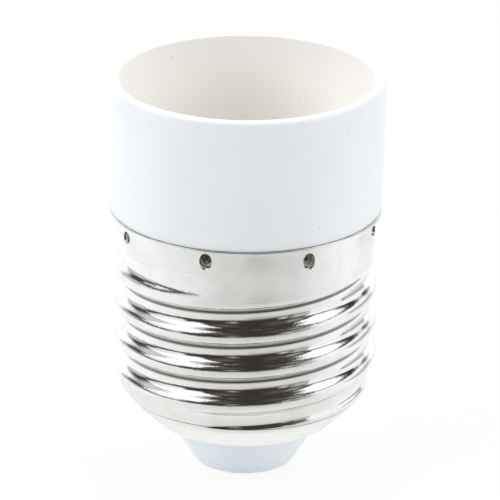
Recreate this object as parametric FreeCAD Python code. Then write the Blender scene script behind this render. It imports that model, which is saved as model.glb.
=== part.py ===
import FreeCAD, Part
import math
import os
from FreeCAD import Placement, Rotation, Vector

# Lamp socket adapter: a white moulded cup over a rolled screw shell.
# The large shell screws into a 27 mm lamp holder. A small lamp screws into the sleeve down the cup.
# Lengths are in millimetres, +Z points out of the cup's mouth and the front of the object is -Y.
# The origin is the lowest point of the bottom contact, on the axis.
# Angles round the axis are in degrees: 0 is the front and positive turns towards +X.

# Heights above the seam where the cup meets the metal shell, and below the shell's foot
CUP_HEIGHT = 13.25
FLOOR_ABOVE_SEAM = 1.5
NOSE_REACH = 4.95
CONTACT_PROUD = 0.5

# Inner sleeve for the small lamp
SLEEVE_R = 6.2
SLEEVE_SHEET = 0.3
SLEEVE_SWELL = 0.8
WELL_CLEARANCE = 0.3
SLEEVE_FLANGE = 1.9
SLEEVE_CHAMFER = 0.3
SLEEVE_BASE_WIDTH = 2.2

# Rolled screw shell: one sheet with a flange, a plain band, a rolled thread and a turned-in foot
SHEET = 0.3
PITCH = 3.629
THREAD_DEPTH = 1.096
THREAD_FLAT = 0.4
THREAD_TOP_DEPTH = 1.89
THREAD_START_ANGLE = -13.0
THREAD_TURNS = 4.097
RUN_IN_ANGLE = 80.0
RUN_OUT_ANGLE = 62.0
THREAD_MARGIN = 0.1
LINE_STEP = 24.0
SHOULDER_DROP = 0.6225
FOOT_HEIGHT = 1.413
FOOT_CHAMFER = 0.25
FOOT_LIP = 0.9
FLANGE_LIP = 0.55
FLANGE_CHAMFER = 0.12
SKIRT_CLEARANCE = 0.05
SHOULDER_CLEARANCE = 0.05
FOOT_CLEARANCE = 0.25

# Moulded housing, from the tube round the sleeve outwards
TUBE_WALL = 1.8
RIB_REACH = 1.904
RIB_CLEARANCE = 0.45
RIB_COUNT = 8
RIB_WIDTH = 1.2
RIB_FIRST_ANGLE = 22.5
SKIRT_DEPTH = 2.6
SKIRT_WALL = 1.4
CUP_LEDGE = 0.35
CUP_FLARE = 0.28
CUP_WALL = 1.2
CUP_DRAFT_INSIDE = 0.23
RIM_OUTER_CHAMFER = 0.25
RIM_INNER_CHAMFER = 0.18
FLOOR_CHAMFER = 0.4
FLOOR_WALL = 2.1
WELL_DEPTH = 13.4
CHAMBER_STEP = 1.6
NOSE_FLOOR_WALL = 2.45
NOSE_CLEARANCE = 0.25
NOSE_TAPER = 3.1
NOSE_CHAMFER = 0.3

# Punched pricks that stake the shell to the housing
PRICK_COUNT = 8
PRICK_FIRST_ANGLE = -62.0
PRICK_BELOW_SEAM = 1.5
PRICK_R = 0.58
PRICK_TILT = 24.0
PRICK_TIP_DEPTH = 1.3

# Link strip and its rivet, at the back
STRIP_WIDTH = 3.0
STRIP_SHEET = 0.3
STRIP_BEND = 0.5
STRIP_END_MARGIN = 0.3
STRIP_RISE = 4.2
STRIP_SPRING_OUT = 1.2
STRIP_SLOT_CLEARANCE = 0.2
LINK_RIVET_INSET = 1.1
LINK_RIVET_SHANK_R = 0.6
LINK_RIVET_HEAD_R = 1.05
LINK_RIVET_HEAD = 0.35
LINK_RIVET_FLUSH_R = 0.9
RIVET_HOLE_CLEARANCE = 0.05

# Centre contact, a folded spring strip, and the bottom contact that rivets it down
LEAF_WIDTH = 3.6
LEAF_SHEET = 0.35
LEAF_BEND = 0.8
LEAF_PAD_REACH = 2.6
LEAF_WALL_GAP = 1.05
LEAF_TIP_DEPTH = 14.2
LEAF_SLOPE_RISE = 1.5
LEAF_TIP_REACH = 2.3
LEAF_TIP_HOOK = 0.8
BOTTOM_CONTACT_R = 3.5
BOTTOM_CONTACT_CHAMFER = 0.2
BOTTOM_SHANK_R = 1.5
BOTTOM_CLINCH_R = 2.2
BOTTOM_CLINCH = 0.45
BOTTOM_BORE_R = 0.75
BOTTOM_BORE_DEPTH = 1.6

# Values worked out from the driving dimensions
AXIS = Vector(0, 0, 1)
BOTTOM = Vector(0, 0, 0)
THREAD_ANGLE = 360.0 * THREAD_TURNS
TOP_RING_DEPTH = THREAD_TOP_DEPTH + THREAD_FLAT - THREAD_MARGIN
SHOULDER_TOP = THREAD_TOP_DEPTH + THREAD_FLAT + PITCH * THREAD_TURNS
SHOULDER_LOW = SHOULDER_TOP + PITCH / 2
LOW_RING_DEPTH = SHOULDER_TOP + PITCH + THREAD_MARGIN
SHELL_DEPTH = LOW_RING_DEPTH + FOOT_HEIGHT
NOSE_DEPTH = SHELL_DEPTH + NOSE_REACH
SEAM_Z = NOSE_DEPTH + CONTACT_PROUD
WELL_R = SLEEVE_R + SLEEVE_SWELL + SLEEVE_SHEET + WELL_CLEARANCE
SLEEVE_FLANGE_R = SLEEVE_R + SLEEVE_SHEET + SLEEVE_FLANGE
SLEEVE_HOLE_R = SLEEVE_R - SLEEVE_BASE_WIDTH
CHAMBER_R = SLEEVE_R - CHAMBER_STEP
LEAF_LEG_X = CHAMBER_R - LEAF_WALL_GAP
LINK_RIVET_RADIUS = SLEEVE_R - LINK_RIVET_INSET
TUBE_R = WELL_R + TUBE_WALL
RIB_R = TUBE_R + RIB_REACH
ROOT_INNER_R = RIB_R + RIB_CLEARANCE
CREST_R = ROOT_INNER_R + SHEET + THREAD_DEPTH
SKIRT_R = CREST_R - SHEET - SKIRT_CLEARANCE
FLANGE_R = CREST_R + FLANGE_LIP
CUP_SEAM_R = CREST_R + CUP_LEDGE
CUP_RIM_R = CUP_SEAM_R + CUP_FLARE
FOOT_CONE_SUM = CREST_R - SHOULDER_DROP + SHOULDER_LOW
FOOT_EDGE_R = FOOT_CONE_SUM - SHELL_DEPTH
FOOT_HOLE_R = FOOT_EDGE_R - FOOT_LIP
NOSE_TOP_R = FOOT_HOLE_R - NOSE_CLEARANCE
NOSE_TIP_R = NOSE_TOP_R - NOSE_TAPER
LEDGE_DEPTH = WELL_DEPTH - FLOOR_ABOVE_SEAM
CHAMBER_DEPTH = NOSE_DEPTH - NOSE_FLOOR_WALL
BACK = 180.0
OVERLAP = 0.5


def below(depth):
    """Height of a point that lies this far below the seam."""
    return SEAM_Z - depth


def on_axis_plane(angle, r, z):
    """Point at a radius and height, on the half-plane at an angle from the front."""
    a = math.radians(angle)
    return Vector(r * math.sin(a), -r * math.cos(a), z)


def corner_cuts(points, sizes, closed):
    """Where each corner with a size is entered and left, and the middle of an arc between the two."""
    cuts = []
    count = len(points)
    for i, p in enumerate(points):
        inner_corner = closed or 0 < i < count - 1
        if not sizes[i] or not inner_corner:
            cuts.append((p, None, p))
            continue
        back = (points[i - 1] - p).normalize()
        ahead = (points[(i + 1) % count] - p).normalize()
        half = back.getAngle(ahead) / 2
        reach = sizes[i] / math.tan(half)
        middle = p + (back + ahead).normalize() * (sizes[i] / math.sin(half) - sizes[i])
        cuts.append((p + back * reach, middle, p + ahead * reach))
    return cuts


def outline_edges(corners, closed, arcs):
    """Straight edges between (u, v, size) corners, cut by chamfers or tangent arcs. u and v become X and Z."""
    points = [Vector(c[0], 0, c[1]) for c in corners]
    sizes = [c[2] if len(c) > 2 else 0.0 for c in corners]
    cuts = corner_cuts(points, sizes, closed)
    edges = []
    for i, (entry, middle, leave) in enumerate(cuts):
        if middle and arcs:
            edges.append(Part.Arc(entry, middle, leave).toShape())
        elif middle:
            edges.append(Part.LineSegment(entry, leave).toShape())
        last = i == len(cuts) - 1
        if last and not closed:
            continue
        edges.append(Part.LineSegment(leave, cuts[(i + 1) % len(cuts)][0]).toShape())
    return edges


def turned(corners):
    """Solid of revolution round Z from a closed outline of (r, z, chamfer) corners."""
    face = Part.Face(Part.Wire(outline_edges(corners, True, False)))
    return face.revolve(BOTTOM, AXIS, 360)


def folded_strip(path, sheet, width):
    """Strip of sheet metal that follows a path of (x, z, bend) corners along its mid-plane."""
    spine = Part.Wire(outline_edges(path, False, True))
    start = Vector(path[0][0], 0, path[0][1])
    along = (Vector(path[1][0], 0, path[1][1]) - start).normalize()
    across = Vector(0, 1, 0)
    up = across.cross(along)
    signs = ((-1, -1), (1, -1), (1, 1), (-1, 1), (-1, -1))
    section = Part.makePolygon([start + across * (width / 2 * a) + up * (sheet / 2 * b) for a, b in signs])
    strip = spine.makePipeShell([section], True, True)
    return strip if strip.Volume > 0 else strip.reversed()


def cylinder(r, low, high):
    """Upright cylinder on the axis between two heights."""
    return Part.makeCylinder(r, high - low, Vector(0, 0, low), AXIS)


def smooth_step(t):
    """Rises from 0 to 1 with level ends."""
    t = min(max(t, 0.0), 1.0)
    return t * t * (3.0 - 2.0 * t)


# Rolled wall of the screw shell

def crest_radius(depth):
    """Outer radius of the shell where no groove is rolled: cylinder, chamfered shoulder, cone."""
    if depth <= SHOULDER_TOP:
        return CREST_R
    if depth >= SHOULDER_LOW:
        return FOOT_CONE_SUM - depth
    share = (depth - SHOULDER_TOP) / (SHOULDER_LOW - SHOULDER_TOP)
    return CREST_R + (FOOT_CONE_SUM - SHOULDER_LOW - CREST_R) * share


def plain_slope(depth, step):
    """Change of the plain radius for each millimetre of height, on one side of a depth."""
    return (crest_radius(depth) - crest_radius(depth + step)) / step


def sheet_shift(upper_slope, lower_slope):
    """Step in (r, z) from the sheet's outer face to its inner face where two slopes meet."""
    upper = Vector(-1.0, 0.0, upper_slope).normalize()
    lower = Vector(-1.0, 0.0, lower_slope).normalize()
    return (upper + lower) * (SHEET / (1.0 + upper.dot(lower)))


def thread_lines():
    """Lines of one pitch: drop below the crest's middle, groove depth, lean of the sheet's mitre."""
    flank_run = PITCH / 2 - 2 * THREAD_FLAT
    mitre = math.tan(math.atan(THREAD_DEPTH / flank_run) / 2)
    return [
        (THREAD_FLAT, 0.0, 0.0),
        (PITCH / 2 - THREAD_FLAT, THREAD_DEPTH, mitre),
        (PITCH / 2 + THREAD_FLAT, THREAD_DEPTH, -mitre),
        (PITCH - THREAD_FLAT, 0.0, -mitre),
        (PITCH + THREAD_FLAT, 0.0, 0.0),
    ]


THREAD_LINES = thread_lines()


def groove_share(turned_angle):
    """How much of the full depth the groove has, at an angle along it from its start."""
    start = smooth_step(turned_angle / RUN_IN_ANGLE)
    end = smooth_step((THREAD_ANGLE - turned_angle) / RUN_OUT_ANGLE)
    return start * end


def wall_point(angle, depth, fall, slope, inside):
    """Point of the wall's outer or inner face, for a groove depth and slope at a place."""
    r = crest_radius(depth) - fall
    z = below(depth)
    if inside:
        shift = sheet_shift(slope + plain_slope(depth, -0.01), slope + plain_slope(depth, 0.01))
        r += shift.x
        z += shift.z
    return on_axis_plane(angle, r, z)


def line_point(line, turned_angle, inside):
    """Point of one helical line of the thread."""
    drop, fall, slope = THREAD_LINES[line]
    share = groove_share(turned_angle)
    depth = THREAD_TOP_DEPTH + drop + PITCH * turned_angle / 360.0
    angle = THREAD_START_ANGLE - turned_angle
    return wall_point(angle, depth, fall * share, slope * share, inside)


def wedge_point(line, turned_angle, inside):
    """Point of the shoulder's lower line, which starts level and drops to the ring below the thread."""
    along = (turned_angle - THREAD_ANGLE) / 360.0 + 1.0
    first_depth = SHOULDER_TOP - THREAD_FLAT + THREAD_LINES[line][0]
    last_depth = LOW_RING_DEPTH - THREAD_MARGIN / 2
    depth = first_depth + (last_depth - first_depth) * along
    return wall_point(THREAD_START_ANGLE - turned_angle, depth, 0.0, 0.0, inside)


def line_edge(point_at, line, first, last, inside):
    """Smooth edge along a line of the wall between two angles."""
    count = max(3, int(math.ceil((last - first) / LINE_STEP)))
    angles = [first + (last - first) * i / count for i in range(count + 1)]
    points = [point_at(line, a, inside) for a in angles]
    small = 0.2
    ends = []
    for at in (first, last):
        change = point_at(line, at + small, inside) - point_at(line, at - small, inside)
        ends.append(change * (0.5 / small))
    curve = Part.BSplineCurve()
    curve.interpolate(Points=points, Parameters=angles, InitialTangent=ends[0], FinalTangent=ends[1], Scale=False)
    return curve.toShape()


def ring_edge(depth, first, last, inside):
    """Arc of the plain wall round the axis, at one depth."""
    at = [wall_point(THREAD_START_ANGLE - a, depth, 0.0, 0.0, inside) for a in (first, (first + last) / 2, last)]
    return Part.Arc(at[0], at[1], at[2]).toShape()


def thread_stations():
    """Angles in one turn at which faces end: the start, the end's own angle and half-way round."""
    end = THREAD_ANGLE % 360.0
    return [0.0, end, (end + 360.0) / 2]


def thread_breaks(first, last):
    """Every station angle from first to last, both included."""
    stations = thread_stations()
    angles = [360.0 * turn + s for turn in range(int(THREAD_TURNS) + 2) for s in stations]
    return [a for a in angles if first - 0.01 < a < last + 0.01]


def thread_faces(inside):
    """Faces of the rolled wall: helical strips, and the plain wedges above and below them."""
    faces = []
    breaks = thread_breaks(0.0, THREAD_ANGLE)
    for first, last in zip(breaks, breaks[1:]):
        edges = [line_edge(line_point, k, first, last, inside) for k in range(len(THREAD_LINES))]
        for upper, lower in zip(edges, edges[1:]):
            faces.append(Part.makeRuledSurface(upper, lower))
    turn = thread_breaks(0.0, 360.0)
    for first, last in zip(turn, turn[1:]):
        upper = ring_edge(TOP_RING_DEPTH, first, last, inside)
        faces.append(Part.makeRuledSurface(upper, line_edge(line_point, 0, first, last, inside)))
    turn = thread_breaks(THREAD_ANGLE - 360.0, THREAD_ANGLE)
    for first, last in zip(turn, turn[1:]):
        upper = line_edge(line_point, len(THREAD_LINES) - 1, first, last, inside)
        middle = line_edge(wedge_point, len(THREAD_LINES) // 2, first, last, inside)
        lower = ring_edge(LOW_RING_DEPTH, first, last, inside)
        faces.append(Part.makeRuledSurface(upper, middle))
        faces.append(Part.makeRuledSurface(middle, lower))
    return faces


def swept_sectors(corners, breaks):
    """Open profile of (r, z, chamfer) corners turned round the axis, ending at each break angle."""
    shells = []
    profile = Part.Wire(outline_edges(corners, False, False))
    for first, last in zip(breaks, breaks[1:]):
        sector = profile.revolve(BOTTOM, AXIS, last - first)
        start = THREAD_START_ANGLE - last - 90.0
        sector.rotate(BOTTOM, AXIS, start)
        shells.append(sector)
    return shells


def ring_corner(depth, inside):
    """Radius and height of the plain wall's face at a depth."""
    p = wall_point(90.0, depth, 0.0, 0.0, inside)
    return (p.x, p.z)


def flange_profile():
    """Open profile from the band's outer face, round the flange, to the band's inner face."""
    top = below(0.0)
    outer = ring_corner(TOP_RING_DEPTH, False)
    inner = ring_corner(TOP_RING_DEPTH, True)
    return [
        outer,
        (CREST_R, top - SHEET),
        (FLANGE_R, top - SHEET, FLANGE_CHAMFER),
        (FLANGE_R, top),
        (CREST_R - SHEET, top),
        inner,
    ]


def foot_profile():
    """Open profile from the cone's outer face, round the turned-in foot, to the cone's inner face."""
    low = below(SHELL_DEPTH)
    outer = ring_corner(LOW_RING_DEPTH, False)
    inner = ring_corner(LOW_RING_DEPTH, True)
    inner_edge_r = inner[0] - (inner[1] - low - SHEET)
    return [
        outer,
        (FOOT_EDGE_R, low, FOOT_CHAMFER),
        (FOOT_HOLE_R, low),
        (FOOT_HOLE_R, low + SHEET),
        (inner_edge_r, low + SHEET),
        inner,
    ]


def prick(angle, inward):
    """Tilted round body of the punch, from outside the band to a depth inside it."""
    tilt = math.radians(PRICK_TILT)
    centre = on_axis_plane(angle, CREST_R, below(PRICK_BELOW_SEAM))
    radial = on_axis_plane(angle, 1.0, 0.0)
    along = AXIS * math.sin(tilt) - radial * math.cos(tilt)
    return Part.makeCylinder(PRICK_R, OVERLAP + inward, centre - along * OVERLAP, along)


def prick_angles():
    """Angles of the pricks round the band."""
    return [PRICK_FIRST_ANGLE + 360.0 * k / PRICK_COUNT for k in range(PRICK_COUNT)]


def make_screw_shell():
    """Rolled sheet shell with its flange, thread and foot, and the pricks punched in its band."""
    faces = thread_faces(False) + thread_faces(True)
    top_breaks = thread_breaks(0.0, 360.0)
    low_breaks = thread_breaks(THREAD_ANGLE - 360.0, THREAD_ANGLE)
    for sector in swept_sectors(flange_profile(), top_breaks) + swept_sectors(foot_profile(), low_breaks):
        faces.extend(sector.Faces)
    skin = Part.makeCompound(faces)
    skin.sewShape(0.002)
    shell = Part.makeSolid(skin.Shells[0])
    if shell.Volume < 0:
        shell = shell.reversed()
    for angle in prick_angles():
        shell = shell.cut(prick(angle, 3 * SHEET))
    return shell


# Housing

def make_housing():
    """Moulding with the cup, its floor, the skirt that carries the shell, the ribbed tube and the nose."""
    rim = below(-CUP_HEIGHT)
    floor = below(-FLOOR_ABOVE_SEAM)
    floor_r = CUP_RIM_R - CUP_WALL - CUP_DRAFT_INSIDE
    shoulder = below(SHELL_DEPTH - SHEET - SHOULDER_CLEARANCE)
    core_sum = FOOT_CONE_SUM - SHEET * math.sqrt(2) - FOOT_CLEARANCE
    shoulder_r = core_sum - SHELL_DEPTH + SHEET + SHOULDER_CLEARANCE
    tube_foot = below(core_sum - TUBE_R)
    web = below(FLOOR_WALL - FLOOR_ABOVE_SEAM)
    body = turned([
        (BOTTOM_SHANK_R + RIVET_HOLE_CLEARANCE, below(NOSE_DEPTH)),
        (NOSE_TIP_R, below(NOSE_DEPTH), NOSE_CHAMFER),
        (NOSE_TOP_R, below(SHELL_DEPTH)),
        (NOSE_TOP_R, shoulder),
        (shoulder_r, shoulder),
        (TUBE_R, tube_foot),
        (TUBE_R, web),
        (SKIRT_R - SKIRT_WALL, web),
        (SKIRT_R - SKIRT_WALL, below(SKIRT_DEPTH)),
        (SKIRT_R, below(SKIRT_DEPTH)),
        (SKIRT_R, below(0.0)),
        (CUP_SEAM_R, below(0.0)),
        (CUP_RIM_R, rim, RIM_OUTER_CHAMFER),
        (CUP_RIM_R - CUP_WALL, rim, RIM_INNER_CHAMFER),
        (floor_r, floor, FLOOR_CHAMFER),
        (WELL_R, floor),
        (WELL_R, below(LEDGE_DEPTH)),
        (CHAMBER_R, below(LEDGE_DEPTH)),
        (CHAMBER_R, below(CHAMBER_DEPTH)),
        (BOTTOM_SHANK_R + RIVET_HOLE_CLEARANCE, below(CHAMBER_DEPTH)),
    ])
    rib_low = below(core_sum - RIB_R)
    rib_root = TUBE_R - TUBE_WALL / 2
    rib_outline = [(rib_root, web), (RIB_R, web), (RIB_R, rib_low), (TUBE_R, tube_foot), (rib_root, tube_foot)]
    rib_face = Part.Face(Part.Wire(outline_edges(rib_outline, True, False)))
    rib_face.translate(Vector(0, -RIB_WIDTH / 2, 0))
    rib = rib_face.extrude(Vector(0, RIB_WIDTH, 0))
    for k in range(RIB_COUNT):
        turned_rib = rib.copy()
        turned_rib.rotate(BOTTOM, AXIS, RIB_FIRST_ANGLE - 90.0 + 360.0 * k / RIB_COUNT)
        body = body.fuse(turned_rib)
    for angle in prick_angles():
        body = body.cut(prick(angle, PRICK_TIP_DEPTH))
    return body.cut(link_slot()).cut(link_rivet_pocket())


def link_slot():
    """Slot across the ledge and out through the tube's back wall for the link strip."""
    width = STRIP_WIDTH + 2 * STRIP_SLOT_CLEARANCE
    low = below(LEDGE_DEPTH + STRIP_SHEET)
    inner = CHAMBER_R * 0.8
    reach = TUBE_R + OVERLAP - inner
    recess = Part.makeBox(width, reach, STRIP_SHEET + OVERLAP, Vector(-width / 2, inner, low))
    above_ledge = cylinder(WELL_R - 0.01, below(LEDGE_DEPTH), below(LEDGE_DEPTH) + OVERLAP)
    return recess.cut(above_ledge)


def link_rivet_pocket():
    """Pocket in the ledge below the strip for the rivet's closed head."""
    low = below(LEDGE_DEPTH + STRIP_SHEET + LINK_RIVET_HEAD + STRIP_SLOT_CLEARANCE)
    high = below(LEDGE_DEPTH)
    r = LINK_RIVET_HEAD_R + STRIP_SLOT_CLEARANCE
    return Part.makeCylinder(r, high - low, Vector(0, LINK_RIVET_RADIUS, low), AXIS)


# Inner sleeve, link strip and link rivet

def make_lamp_sleeve():
    """Drawn sleeve with a flange on the cup's floor and a turned-in base. Its thread is left plain."""
    top = below(-FLOOR_ABOVE_SEAM)
    base = below(LEDGE_DEPTH)
    outer = SLEEVE_R + SLEEVE_SHEET
    sleeve = turned([
        (SLEEVE_HOLE_R, base),
        (outer, base, SLEEVE_CHAMFER),
        (outer, top),
        (SLEEVE_FLANGE_R, top),
        (SLEEVE_FLANGE_R, top + SLEEVE_SHEET),
        (SLEEVE_R, top + SLEEVE_SHEET, SLEEVE_CHAMFER),
        (SLEEVE_R, base + SLEEVE_SHEET),
        (SLEEVE_HOLE_R, base + SLEEVE_SHEET),
    ])
    low_r = LINK_RIVET_SHANK_R + RIVET_HOLE_CLEARANCE
    high_r = LINK_RIVET_FLUSH_R + RIVET_HOLE_CLEARANCE
    hole = Part.makeCone(low_r, high_r, SLEEVE_SHEET, Vector(0, LINK_RIVET_RADIUS, base), AXIS)
    return sleeve.cut(hole)


def make_link_strip():
    """Strip from under the sleeve, out through the tube's wall and up to the screw shell."""
    mid = below(LEDGE_DEPTH + STRIP_SHEET / 2)
    leg = TUBE_R + STRIP_SHEET / 2 + SKIRT_CLEARANCE
    path = [
        (SLEEVE_HOLE_R + STRIP_END_MARGIN, mid),
        (leg, mid, STRIP_BEND),
        (leg + STRIP_SPRING_OUT, mid + STRIP_RISE * 0.7, STRIP_BEND * 2),
        (leg + STRIP_SPRING_OUT * 0.6, mid + STRIP_RISE),
    ]
    strip = folded_strip(path, STRIP_SHEET, STRIP_WIDTH)
    strip.rotate(BOTTOM, AXIS, 90.0)
    hole_r = LINK_RIVET_SHANK_R + RIVET_HOLE_CLEARANCE
    hole = Part.makeCylinder(hole_r, 2.0, Vector(0, LINK_RIVET_RADIUS, mid - 1.0), AXIS)
    return strip.cut(hole)


def make_link_rivet():
    """Rivet that joins the link strip to the sleeve's base. Its countersunk top is flush inside the sleeve."""
    base = below(LEDGE_DEPTH)
    low = below(LEDGE_DEPTH + STRIP_SHEET)
    rivet = turned([
        (0.0, low - LINK_RIVET_HEAD),
        (LINK_RIVET_HEAD_R, low - LINK_RIVET_HEAD),
        (LINK_RIVET_HEAD_R, low),
        (LINK_RIVET_SHANK_R, low),
        (LINK_RIVET_SHANK_R, base),
        (LINK_RIVET_FLUSH_R, base + SLEEVE_SHEET),
        (0.0, base + SLEEVE_SHEET),
    ])
    rivet.translate(Vector(0, LINK_RIVET_RADIUS, 0))
    return rivet


# Centre contact and bottom contact

def make_centre_contact():
    """Spring strip: a pad on the chamber's floor, a leg up its wall and a sloping tongue over the axis."""
    pad = below(CHAMBER_DEPTH) + LEAF_SHEET / 2
    tip = below(LEAF_TIP_DEPTH)
    path = [
        (-LEAF_PAD_REACH, pad),
        (LEAF_LEG_X, pad, LEAF_BEND),
        (LEAF_LEG_X, tip - LEAF_SLOPE_RISE, LEAF_BEND),
        (-LEAF_TIP_REACH + LEAF_TIP_HOOK, tip, LEAF_BEND),
        (-LEAF_TIP_REACH, tip - LEAF_TIP_HOOK),
    ]
    strip = folded_strip(path, LEAF_SHEET, LEAF_WIDTH)
    hole_r = BOTTOM_SHANK_R + RIVET_HOLE_CLEARANCE
    return strip.cut(cylinder(hole_r, below(NOSE_DEPTH), pad + 1.0))


def make_bottom_contact():
    """Rivet whose head is the bottom contact and whose closed end holds the centre contact's pad."""
    low = below(NOSE_DEPTH)
    seat = below(CHAMBER_DEPTH) + LEAF_SHEET
    top = seat + BOTTOM_CLINCH
    return turned([
        (0.0, low - CONTACT_PROUD),
        (BOTTOM_CONTACT_R, low - CONTACT_PROUD, BOTTOM_CONTACT_CHAMFER),
        (BOTTOM_CONTACT_R, low),
        (BOTTOM_SHANK_R, low),
        (BOTTOM_SHANK_R, seat),
        (BOTTOM_CLINCH_R, seat),
        (BOTTOM_CLINCH_R, top, BOTTOM_CLINCH * 0.4),
        (BOTTOM_BORE_R, top),
        (BOTTOM_BORE_R, top - BOTTOM_BORE_DEPTH),
        (0.0, top - BOTTOM_BORE_DEPTH),
    ])


MAKERS = {
    "housing": make_housing,
    "screw_shell": make_screw_shell,
    "lamp_sleeve": make_lamp_sleeve,
    "link_strip": make_link_strip,
    "link_rivet": make_link_rivet,
    "centre_contact": make_centre_contact,
    "bottom_contact": make_bottom_contact,
}

os.makedirs("parts", exist_ok=True)
for name, maker in MAKERS.items():
    shape = maker()
    shape.exportStep(os.path.join("parts", name + ".step"))
    box = shape.BoundBox
    print(name, "solids", len(shape.Solids), "valid", shape.isValid(), "volume", round(shape.Volume, 1),
          "z", round(box.ZMin, 2), round(box.ZMax, 2), "width", round(box.XLength, 2))
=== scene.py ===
# %% [markdown]
# # Lamp socket adapter
# A white moulded cup stands over a rolled metal screw shell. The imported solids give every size,
# so the frame is loaded first and all that follows is built round it, in metres.

# %% Load the frame
import bpy
import math
from mathutils import Matrix, Vector


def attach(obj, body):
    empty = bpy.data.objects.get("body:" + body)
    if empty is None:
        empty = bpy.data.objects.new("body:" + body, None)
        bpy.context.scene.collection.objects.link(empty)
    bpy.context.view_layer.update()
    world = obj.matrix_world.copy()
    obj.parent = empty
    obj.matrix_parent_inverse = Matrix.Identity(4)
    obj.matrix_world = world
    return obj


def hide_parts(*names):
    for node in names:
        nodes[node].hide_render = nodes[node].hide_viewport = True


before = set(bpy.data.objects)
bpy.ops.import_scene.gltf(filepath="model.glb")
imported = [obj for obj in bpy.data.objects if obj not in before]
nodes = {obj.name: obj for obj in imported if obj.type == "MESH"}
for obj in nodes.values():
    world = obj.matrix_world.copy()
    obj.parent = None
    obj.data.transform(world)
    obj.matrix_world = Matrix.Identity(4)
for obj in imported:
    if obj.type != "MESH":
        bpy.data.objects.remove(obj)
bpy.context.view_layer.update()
print("nodes:", ", ".join(sorted(nodes)))

# %% [markdown]
# The drawing of the object counts in millimetres from the seam, the plane where the cup meets
# the metal. Blender counts in metres from the floor, so one helper turns a radius and a depth
# below the seam into a radius and a height here.

# %% Millimetres from the seam
MM = 0.001
SEAM = 27.75


def place(r, depth):
    """Radius and height in metres of a point this far below the seam."""
    return (r * MM, (SEAM - depth) * MM)


def deselect():
    """Leaves edit mode with nothing selected."""
    if bpy.context.object and bpy.context.object.mode != "OBJECT":
        bpy.ops.object.mode_set(mode="OBJECT")
    bpy.ops.object.select_all(action="DESELECT")


def only(piece):
    """Selects one piece and makes it active."""
    deselect()
    piece.select_set(True)
    bpy.context.view_layer.objects.active = piece


# %% [markdown]
# Most pieces here were turned, drawn or moulded round one axis. On a lathe the half outline says
# everything, so an outline is drawn point by point with extrude, as by hand, and then spun.
# Rounded corners come from a few points along an arc that touches both neighbours.

# %% Outlines and the lathe
def rounded(corners, closed=True, steps=5):
    """Points (r, depth) of an outline of (r, depth, round) corners, with an arc at each round."""
    points = []
    count = len(corners)
    for i, corner in enumerate(corners):
        p = Vector(corner[:2])
        size = corner[2] if len(corner) > 2 else 0.0
        if not size or (not closed and i in (0, count - 1)):
            points.append(tuple(p))
            continue
        back = (Vector(corners[i - 1][:2]) - p).normalized()
        ahead = (Vector(corners[(i + 1) % count][:2]) - p).normalized()
        half = back.angle(ahead) / 2
        centre = p + (back + ahead).normalized() * (size / math.sin(half))
        first = p + back * (size / math.tan(half)) - centre
        last = p + ahead * (size / math.tan(half)) - centre
        for k in range(steps + 1):
            points.append(tuple(centre + first.slerp(last, k / steps).normalized() * size))
    return points


def draw_outline(name, points, closed):
    """Draws an outline in the XZ plane, one extrude at a time."""
    deselect()
    r, z = place(*points[0])
    bpy.ops.mesh.primitive_plane_add(size=0.002, location=(0, 0, 0))
    piece = bpy.context.object
    piece.name = name
    bpy.ops.object.mode_set(mode="EDIT")
    bpy.ops.mesh.merge(type="CENTER")
    bpy.ops.transform.translate(value=(r, 0, z))
    for point in points[1:]:
        new_r, new_z = place(*point)
        step = (new_r - r, 0, new_z - z)
        bpy.ops.mesh.extrude_region_move(TRANSFORM_OT_translate={"value": step})
        r, z = new_r, new_z
    if closed:
        step = (place(*points[0])[0] - r, 0, place(*points[0])[1] - z)
        bpy.ops.mesh.extrude_region_move(TRANSFORM_OT_translate={"value": step})
    bpy.ops.mesh.select_all(action="SELECT")
    bpy.ops.mesh.remove_doubles(threshold=1e-7)
    return piece


def spin(piece, steps):
    """Spins the outline once round Z and closes the seam."""
    bpy.ops.mesh.select_all(action="SELECT")
    bpy.ops.mesh.spin(steps=steps, angle=2 * math.pi, center=(0, 0, 0), axis=(0, 0, 1))
    bpy.ops.mesh.select_all(action="SELECT")
    bpy.ops.mesh.remove_doubles(threshold=2e-6)
    bpy.ops.mesh.normals_make_consistent(inside=False)
    bpy.ops.object.mode_set(mode="OBJECT")
    return piece


def smooth(piece, angle=35):
    """Smooth shading that keeps the sharp edges."""
    only(piece)
    bpy.ops.object.shade_smooth_by_angle(angle=math.radians(angle))


def apply_modifier(piece, modifier):
    """Applies one modifier, as with Ctrl+A."""
    only(piece)
    bpy.ops.object.modifier_apply(modifier=modifier.name)


def join(target, others):
    """Joins the other pieces into the target."""
    deselect()
    for other in others:
        other.select_set(True)
    target.select_set(True)
    bpy.context.view_layer.objects.active = target
    bpy.ops.object.join()
    return target


def thicken(piece, thickness):
    """Gives a sheet its thickness, in millimetres, on the side that its faces turn away from."""
    sheet = piece.modifiers.new("sheet", "SOLIDIFY")
    sheet.thickness = thickness * MM
    sheet.offset = -1
    apply_modifier(piece, sheet)


def cut_out(piece, cutters):
    """Cuts some shapes out of a piece and removes them."""
    cutter = join(cutters[0], cutters[1:])
    cut = piece.modifiers.new("cut", "BOOLEAN")
    cut.operation = "DIFFERENCE"
    cut.object = cutter
    cut.solver = "EXACT"
    apply_modifier(piece, cut)
    bpy.data.objects.remove(cutter)


def outwardness(piece):
    """Above zero where a piece's faces look away from the axis, on the whole."""
    return sum(p.normal.dot(Vector((p.center.x, p.center.y, 0))) for p in piece.data.polygons)


def triangles(piece):
    """How many triangles a piece's faces make."""
    return sum(len(p.vertices) - 2 for p in piece.data.polygons)


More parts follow.
